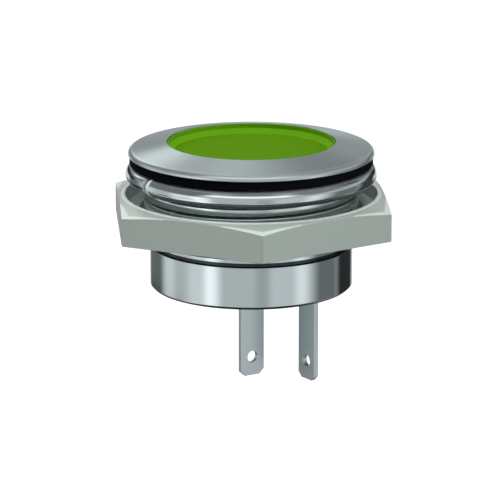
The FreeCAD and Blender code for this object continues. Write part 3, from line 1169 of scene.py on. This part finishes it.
@dataclass
class GreenLens:
    """Dished green lens held behind the bezel's step, its bevel round the floor painted a lighter
    green as painted light.
    """

    outer: float = 8.49
    top: float = LENS.high
    lip: float = 0.12
    dish_depth: float = 0.95
    bevel: float = 0.5
    floor_thickness: float = 1.1
    shoulder: float = LENS_SEAL.low
    rear: float = LENS.low
    flange: float = LENS.radius
    cavity: float = 7.9
    bevel_round: float = 0.06
    edge: float = 0.05
    cavity_round: float = 0.1

    def build(self) -> None:
        """Makes the lens, which stands for the CAD lens."""
        inner = self.outer - self.lip
        floor = self.top - self.dish_depth
        under = floor - self.floor_thickness
        lens = turned_piece("lens_dish", [
            Corner(0.0, floor),
            Corner(inner - self.bevel, floor, self.bevel_round),
            Corner(inner, floor + self.bevel, self.bevel_round),
            Corner(inner, self.top, self.edge),
            Corner(self.outer, self.top, self.edge),
            Corner(self.outer, self.shoulder),
            Corner(self.flange, self.shoulder, self.edge),
            Corner(self.flange, self.rear, self.edge),
            Corner(self.cavity, self.rear),
            Corner(self.cavity, under, self.cavity_round),
            Corner(0.0, under),
        ])
        # The bevel gets a lighter green: painted light.
        dress(lens, LENS_GREEN, LENS_BEVEL_PAINTED_LIGHT)
        for face in lens.data.polygons:
            face.material_index = int(face.center.xy.length > (inner - self.bevel) * MM)
        seat(lens, Body.HOUSING, "lens_green", "lens")


@dataclass
class BladeTerminal:
    """Flat blade with a bevelled tip, a wire hole, a shoulder and a tang."""

    name: str
    node: str
    turn_deg: float
    width: float = 2.8
    thickness: float = 0.5
    tip_chamfer: float = 0.55
    tip_rise: float = 0.5
    hole: float = 0.6
    hole_from_tip: float = 1.95
    shoulder: float = 1.65
    shoulder_low: float = -10.7
    shoulder_high: float = -10.1
    tang: float = 0.65
    edge: float = 0.045
    flat_deg: float = 12.0
    hole_steps: int = 48

    def build(self) -> None:
        """Makes the blade, which stands for one CAD terminal."""
        node = reach(self.node)
        mesh = self._sheet_mesh(node)
        upright = Matrix.Rotation(math.pi / 2, 4, "X")
        turn = Matrix.Rotation(math.radians(self.turn_deg), 4, "Z")
        place = Matrix.Translation((node.across * MM, node.depth * MM, 0.0))
        mesh.transform(place @ turn @ upright)
        weld(mesh)
        mesh.name = self.name
        blade = finished_object(self.name, mesh, self.flat_deg)
        dress(blade, TIN_PLATE)
        seat(blade, Body.HOUSING, "terminal_tin", self.node)

    def _sheet_mesh(self, node: Reach) -> bpy.types.Mesh:
        """The blade's sheet with its hole and rounded edges, lying flat.

        Args:
            node: How far the CAD terminal reaches.

        Returns:
            The mesh, its height along Y.
        """
        curve = bpy.data.curves.new(self.name, "CURVE")
        curve.dimensions = "2D"
        curve.fill_mode = "BOTH"
        curve.extrude = (self.thickness / 2 - self.edge) * MM
        curve.bevel_depth = self.edge * MM
        curve.bevel_resolution = 2
        curve.offset = -self.edge * MM
        for outline in (self._sheet(node), self._wire_hole(node)):
            spline = curve.splines.new("POLY")
            spline.points.add(len(outline) - 1)
            for spot, (x, y) in zip(spline.points, outline):
                spot.co = (x * MM, y * MM, 0.0, 1.0)
            spline.use_cyclic_u = True
        carrier = bpy.data.objects.new(self.name + "_outline", curve)
        bpy.context.scene.collection.objects.link(carrier)
        graph = bpy.context.evaluated_depsgraph_get()
        mesh = bpy.data.meshes.new_from_object(carrier.evaluated_get(graph))
        bpy.data.objects.remove(carrier)
        return mesh

    def _sheet(self, node: Reach) -> list[tuple[float, float]]:
        """The outline of the sheet, counted from the blade's middle line.

        Args:
            node: How far the CAD terminal reaches.

        Returns:
            The outline's places across and in height.
        """
        half = self.width / 2
        right = [(half - self.tip_chamfer, node.low), (half, node.low + self.tip_rise),
                 (half, self.shoulder_low), (self.shoulder, self.shoulder_low),
                 (self.shoulder, self.shoulder_high), (self.tang, self.shoulder_high),
                 (self.tang, node.high)]
        return right + [(-x, z) for x, z in reversed(right)]

    def _wire_hole(self, node: Reach) -> list[tuple[float, float]]:
        """The outline of the wire hole.

        Args:
            node: How far the CAD terminal reaches.

        Returns:
            The outline's places across and in height.
        """
        height = node.low + self.hole_from_tip
        angles = -np.linspace(0, 2 * math.pi, self.hole_steps, endpoint=False)
        return [(self.hole * math.cos(a), height + self.hole * math.sin(a)) for a in angles]


def weld(mesh: bpy.types.Mesh) -> None:
    """Welds a mesh's doubled points and turns its faces outwards.

    Args:
        mesh: The mesh that is mended.
    """
    shape = bmesh.new()
    shape.from_mesh(mesh)
    bmesh.ops.remove_doubles(shape, verts=shape.verts, dist=WELD_MM * MM)
    bmesh.ops.recalc_face_normals(shape, faces=shape.faces)
    shape.to_mesh(mesh)
    shape.free()


@dataclass
class LightEngine:
    """The pieces inside the housing, which keep their CAD shapes."""

    finishes: tuple[tuple[Finish, str, tuple[str, ...]], ...] = (
        (SEAL_RUBBER, "seal_rubber", ("lens_seal",)),
        (BRASS, "retainer_brass", ("lens_retainer",)),
        (OPAL, "diffuser_opal", ("diffuser",)),
        (WHITE_PLASTIC, "reflector_white", ("reflector",)),
        (BOARD_GREEN, "board_green", ("circuit_board",)),
        (CHIP_BLACK, "chip_black", ("rectifier", "resistor_1", "resistor_2")),
        (BASE_PLASTIC, "base_plastic", ("terminal_base",)),
        (RESIN, "resin", ("resin_seal",)),
        (SOLDER, "solder", ("solder_left", "solder_right")),
        (CHIP_WHITE, "chip_white", ("led_1", "led_2", "led_3", "led_4")),
    )

    def build(self) -> None:
        """Dresses each inner CAD node."""
        for finish, slot, names in self.finishes:
            for name in names:
                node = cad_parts[name]
                dress(node, finish)
                log.info("%s: %s", name, finish.name)


@dataclass(frozen=True)
class TentCard:
    """A soft-edged card on the tent, by bearing and height in degrees.

    Bearing 0 is towards the camera and grows to its right. The change is in brightness, above
    zero for a light card and below it for a dark one.
    """

    bearing: float
    half_width: float
    height: float
    half_height: float
    change: float
    softness: float


@dataclass(frozen=True)
class Softbox:
    """A soft square lamp that lights what isn't metal: its place in metres and its watts."""

    name: str
    place: tuple[float, float, float]
    watts: float


@dataclass
class Studio:
    """Floor, tent, lamps and camera: everything that isn't the object. Lengths are in metres."""

    floor_z: float = -0.165
    floor_half: float = 3.0
    floor_grey: float = 0.36
    floor_roughness: float = 0.9
    tent_radius: float = 0.15
    tent_columns: int = 96
    tent_rows: int = 48
    tent_grey: float = 0.6
    tent_darkest: float = 0.01
    ambient: float = 0.12
    softbox_side: float = 0.5
    softboxes: tuple[Softbox, ...] = (
        Softbox("key_softbox", (-0.68, 0.12, 0.58), 3.2),
        Softbox("fill_softbox", (0.65, -0.25, 0.27), 2.6),
        Softbox("top_softbox", (0.0, -0.18, 0.68), 3.4),
    )
    elevation_deg: float = 15.05
    distance: float = 0.3798
    focal_pixels: float = 3716.0
    aim_z: float = -0.01275
    aim_pixel: tuple[float, float] = (251.27, 283.76)
    picture: float = 500.0
    sensor: float = 36.0
    nearest: float = 0.01
    farthest: float = 20.0
    upright_cards: tuple[TentCard, ...] = (
        TentCard(-44, 8, -15, 28, 0.55, 14),
        TentCard(-58, 16, -15, 28, 0.22, 16),
        TentCard(-103, 8, -12, 26, 0.2, 12),
        TentCard(-140, 22, -12, 24, -0.44, 14),
        TentCard(12, 7, -15, 24, -0.13, 10),
        TentCard(33, 12, -15, 24, 0.1, 12),
        TentCard(57, 8, -15, 28, 0.4, 14),
        TentCard(93, 18, -12, 26, -0.42, 16),
        TentCard(134, 21, -12, 26, -0.57, 12),
    )
    high_cards: tuple[TentCard, ...] = (
        TentCard(-2, 42, 40, 8, 1.0, 14),
        TentCard(0, 50, 72, 12, -0.38, 10),
        TentCard(-92, 42, 42, 26, -0.42, 14),
        TentCard(92, 40, 48, 20, -0.36, 14),
        TentCard(-150, 13, 31, 10, 0.9, 10),
        TentCard(148, 26, 50, 28, -0.34, 18),
    )
    rear_cards: tuple[TentCard, ...] = (
        TentCard(180, 50, 10, 9, -0.27, 8),
        TentCard(180, 50, 2.5, 3, -0.17, 4),
        TentCard(180, 40, -6, 7, 0.6, 3),
        TentCard(-60, 14, 2, 9, 0.3, 8),
    )
    low_cards: tuple[TentCard, ...] = (
        TentCard(-80, 34, -40, 15, 0.4, 12),
        TentCard(75, 35, -60, 18, -0.3, 12),
        TentCard(-118, 36, -32, 11.5, -0.6, 4),
        TentCard(0, 180, -54, 18, -0.15, 14),
        TentCard(0, 180, -85, 22, -0.42, 16),
    )

    def build(self) -> None:
        """Sets up the whole studio."""
        scene = bpy.context.scene
        scene.view_settings.view_transform = "Standard"
        self._world(scene)
        self._floor()
        self._tent()
        for softbox in self.softboxes:
            self._lamp(softbox)
        self._camera(scene)

    def _seen_rays(self, sheet: NodeSheet) -> Socket:
        """1 on camera, glossy and transmission rays, and 0 on the rest.

        Args:
            sheet: The material's or world's node sheet.

        Returns:
            The socket.
        """
        path = sheet.add("ShaderNodeLightPath")
        seen = sheet.math("MAXIMUM", path.outputs["Is Camera Ray"], path.outputs["Is Glossy Ray"])
        return sheet.math("MAXIMUM", seen, path.outputs["Is Transmission Ray"])

    def _world(self, scene: bpy.types.Scene) -> None:
        """A world that is white where it is seen and a soft grey where it lights.

        Args:
            scene: The scene that gets it.
        """
        world = bpy.data.worlds.new("studio")
        world.use_nodes = True
        scene.world = world
        sheet = NodeSheet(world.node_tree)
        seen = self._seen_rays(sheet)
        background = world.node_tree.nodes["Background"]
        background.inputs["Color"].default_value = (1.0, 1.0, 1.0, 1.0)
        strength = sheet.math("MULTIPLY_ADD", seen, 1.0 - self.ambient, self.ambient)
        sheet.feed(background.inputs["Strength"], strength)

    def _floor(self) -> None:
        """A plain pale floor that keeps the shadow and reads white."""
        mesh = bpy.data.meshes.new("floor")
        corners = ((-1, -1), (1, -1), (1, 1), (-1, 1))
        points = [(x * self.floor_half, y * self.floor_half, self.floor_z) for x, y in corners]
        mesh.from_pydata(points, [], [(0, 1, 2, 3)])
        floor = bpy.data.objects.new("floor", mesh)
        bpy.context.scene.collection.objects.link(floor)
        material = bpy.data.materials.new("floor_pale")
        material.use_nodes = True
        shader = material.node_tree.nodes["Principled BSDF"]
        shader.inputs["Base Color"].default_value = (*(self.floor_grey,) * 3, 1.0)
        shader.inputs["Roughness"].default_value = self.floor_roughness
        shader.inputs["Specular IOR Level"].default_value = 0.0
        shader.inputs["Emission Color"].default_value = (1.0, 1.0, 1.0, 1.0)
        sheet = NodeSheet(material.node_tree)
        sheet.feed(shader.inputs["Emission Strength"], self._seen_rays(sheet))
        mesh.materials.append(material)

    def _tent(self) -> None:
        """A round tent of grey cloth with light and dark cards, which only the metal shows."""
        mesh = bpy.data.meshes.new("tent")
        shape = bmesh.new()
        bmesh.ops.create_uvsphere(shape, u_segments=self.tent_columns,
                                  v_segments=self.tent_rows, radius=self.tent_radius)
        shape.to_mesh(mesh)
        shape.free()
        mesh.shade_smooth()
        tent = bpy.data.objects.new("tent", mesh)
        bpy.context.scene.collection.objects.link(tent)
        material = bpy.data.materials.new("tent_cloth")
        material.use_nodes = True
        tree = material.node_tree
        tree.nodes.remove(tree.nodes["Principled BSDF"])
        sheet = NodeSheet(tree)
        glow = sheet.add("ShaderNodeEmission")
        sheet.feed(glow.inputs["Strength"], self._tent_light(sheet))
        sheet.feed(tree.nodes["Material Output"].inputs["Surface"], glow.outputs[0])
        mesh.materials.append(material)
        tent.visible_camera = False
        tent.visible_diffuse = False
        tent.visible_shadow = False
        tent.visible_volume_scatter = False

    def _tent_light(self, sheet: NodeSheet) -> Socket:
        """How bright the tent is by direction.

        Args:
            sheet: The material's node sheet.

        Returns:
            The brightness socket.
        """
        across, depth, up = sheet.parts(sheet.place())
        ahead = sheet.times(depth, -1.0)
        bearing = sheet.math("DEGREES", sheet.math("ARCTAN2", across, ahead))
        rise = sheet.over(up, self.tent_radius)
        height = sheet.math("DEGREES", sheet.math("ARCSINE", rise))
        light: Operand = self.tent_grey
        for card in self.upright_cards + self.high_cards + self.rear_cards + self.low_cards:
            away = sheet.minus(bearing, card.bearing)
            away = sheet.math("ABSOLUTE", sheet.math("WRAP", away, 180.0, -180.0))
            above = sheet.math("ABSOLUTE", sheet.minus(height, card.height))
            blur = card.softness / 2
            aside = sheet.ease(away, card.half_width - blur, card.half_width + blur)
            above = sheet.ease(above, card.half_height - blur, card.half_height + blur)
            inside = sheet.times(sheet.minus(1.0, aside), sheet.minus(1.0, above))
            light = sheet.math("MULTIPLY_ADD", inside, card.change, light)
        return sheet.math("MAXIMUM", light, self.tent_darkest)

    def _lamp(self, softbox: Softbox) -> None:
        """Hangs one softbox, turned to the object.

        Args:
            softbox: The softbox.
        """
        lamp = bpy.data.lights.new(softbox.name, "AREA")
        lamp.size = self.softbox_side
        lamp.energy = softbox.watts
        holder = bpy.data.objects.new(softbox.name, lamp)
        holder.location = softbox.place
        holder.rotation_euler = (-holder.location).to_track_quat("-Z", "Y").to_euler()
        holder.visible_glossy = False
        bpy.context.scene.collection.objects.link(holder)

    def _camera(self, scene: bpy.types.Scene) -> None:
        """The camera at the photograph's angle, distance and framing.

        Args:
            scene: The scene that gets it.
        """
        tilt = math.radians(self.elevation_deg)
        ahead = Vector((0.0, math.cos(tilt), -math.sin(tilt)))
        up = Vector((0.0, math.sin(tilt), math.cos(tilt)))
        centre = self.picture / 2
        aside = (centre - self.aim_pixel[0]) / self.focal_pixels
        over = (self.aim_pixel[1] - centre) / self.focal_pixels
        aim = (ahead + Vector((aside, 0.0, 0.0)) + up * over).normalized()
        lens = bpy.data.cameras.new("camera")
        lens.sensor_width = self.sensor
        lens.lens = self.focal_pixels / self.picture * self.sensor
        lens.clip_start = self.nearest
        lens.clip_end = self.farthest
        camera = bpy.data.objects.new("camera", lens)
        camera.location = Vector((0.0, 0.0, self.aim_z)) - ahead * self.distance
        camera.rotation_euler = aim.to_track_quat("-Z", "Y").to_euler()
        scene.collection.objects.link(camera)
        scene.camera = camera


def main() -> None:
    """Builds the light, piece by piece, and its studio."""
    logging.basicConfig(level=logging.INFO, format="%(message)s")
    Housing().build()
    GreenLens().build()
    Gasket().build()
    LockRing().build()
    HexNut().build()
    BladeTerminal("blade_left", "terminal_left", turn_deg=34.0).build()
    BladeTerminal("blade_right", "terminal_right", turn_deg=-56.0).build()
    LightEngine().build()
    Studio().build()


if __name__ == "__main__":
    main()
